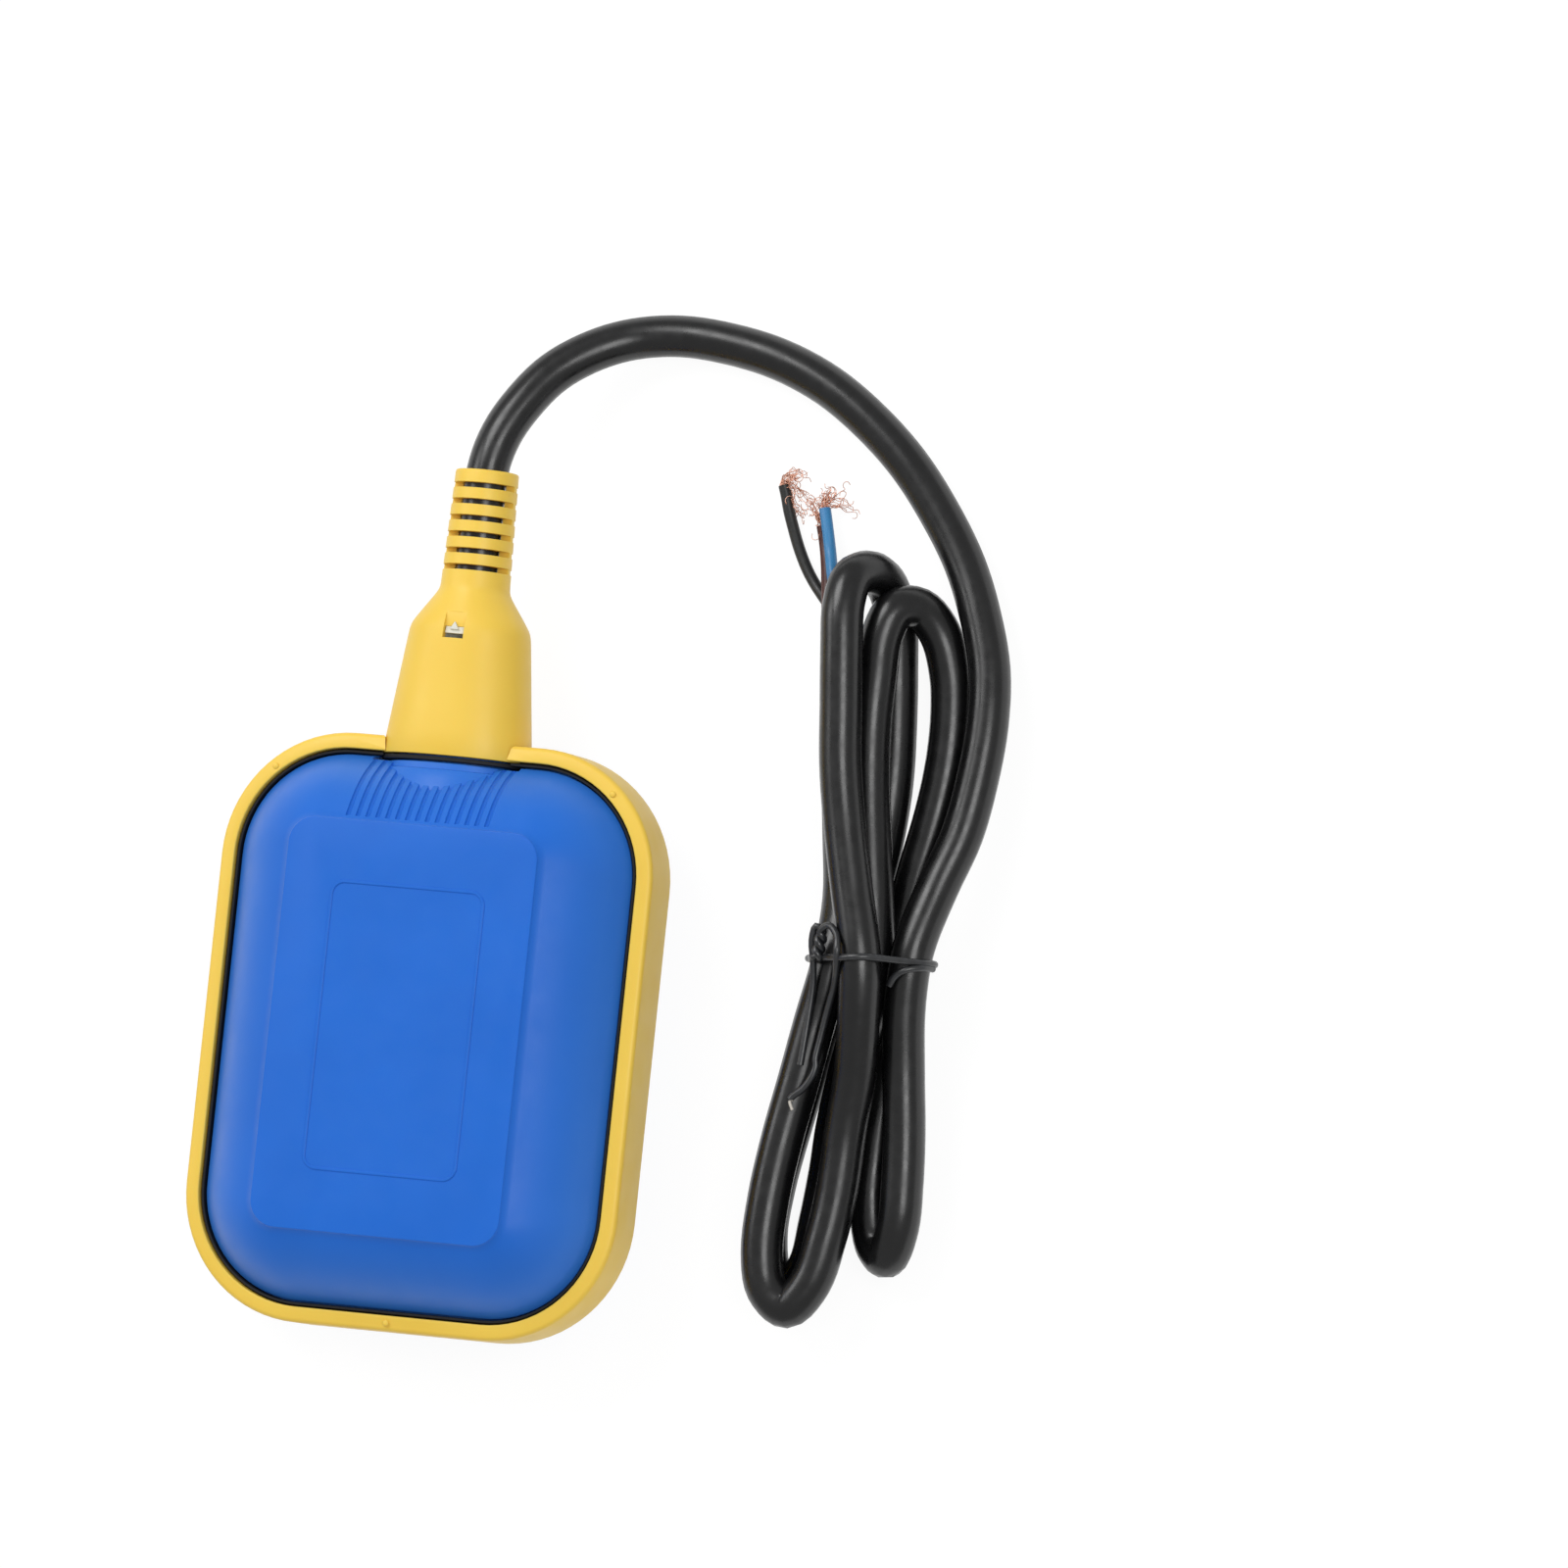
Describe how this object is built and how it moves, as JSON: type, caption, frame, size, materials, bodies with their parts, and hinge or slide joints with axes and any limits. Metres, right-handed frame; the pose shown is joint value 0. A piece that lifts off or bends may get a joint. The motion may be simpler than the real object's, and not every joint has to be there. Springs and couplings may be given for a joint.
{
  "type": "cable float switch",
  "caption": "Sealed float with a rounded rectangular body, oval cable neck with slotted strain relief, coiled cable with bare ends, rolling ball and microswitch inside.",
  "frame": {"origin": "centre of the rear panel's flat face, on which the float lies", "axes": "+Y along the neck towards the cable, +Z out of the front panel, +X to the right seen from the front"},
  "size_m": [0.1439, 0.1919, 0.0372],
  "materials": {
    "blue_plastic": "moulded satin",
    "yellow_plastic": "moulded satin",
    "black_rubber": "matt",
    "natural_nylon": "moulded",
    "grey_plastic": "moulded",
    "black_plastic": "moulded",
    "steel": "bright",
    "brass": "tinned edges",
    "cable_pvc": "extruded, soft gloss",
    "tie_wire": "plastic-covered wire",
    "wire_black": "extruded",
    "wire_brown": "extruded",
    "wire_blue": "extruded",
    "copper": "bare fine strands"
  },
  "bodies": {
    "root": {"front_shell": "blue_plastic", "rear_shell": "blue_plastic", "rim_frame": "yellow_plastic", "seal_ring": "black_rubber", "neck_gasket": "black_rubber", "cable_hood": "yellow_plastic", "gland_body": "natural_nylon", "cable_bush": "black_rubber", "capsule_body": "grey_plastic", "capsule_lid": "grey_plastic", "capsule_screw_1": "steel", "capsule_screw_2": "steel", "capsule_screw_3": "steel", "capsule_screw_4": "steel", "lever_pin": "steel", "switch_case": "black_plastic", "terminal_common": "brass", "terminal_open": "brass", "terminal_closed": "brass", "lead_black": "wire_black", "lead_brown": "wire_brown", "lead_blue": "wire_blue", "cable_lead": "cable_pvc", "cable_hank": "cable_pvc", "hank_tie": "tie_wire", "core_black": "wire_black", "core_brown": "wire_brown", "core_blue": "wire_blue", "strands_black": "copper", "strands_brown": "copper", "strands_blue": "copper"},
    "ball": {"steel_ball": "steel"},
    "lever": {"ball_lever": "steel"},
    "plunger": {"switch_plunger": "natural_nylon"}
  },
  "joints": [
    {"name": "ball_roll", "type": "slide", "parent": "root", "child": "ball", "axis": [0, 1, 0], "range_m": [0, 0.0485]},
    {"name": "lever_swing", "type": "hinge", "parent": "root", "child": "lever", "pos_m": [-0.0038, 0.0012, 0.0185], "axis": [0, 0, 1], "range_deg": [0, 8.5]},
    {"name": "plunger_press", "type": "slide", "parent": "root", "child": "plunger", "axis": [-1, 0, 0], "range_m": [0, 0.0012], "stiffness_N_per_m": 20}
  ],
  "couplings": [
    {"joint": "lever_swing", "follows": "ball_roll", "rad_per_m": 3.058},
    {"joint": "plunger_press", "follows": "ball_roll", "ratio": 0.0247}
  ]
}
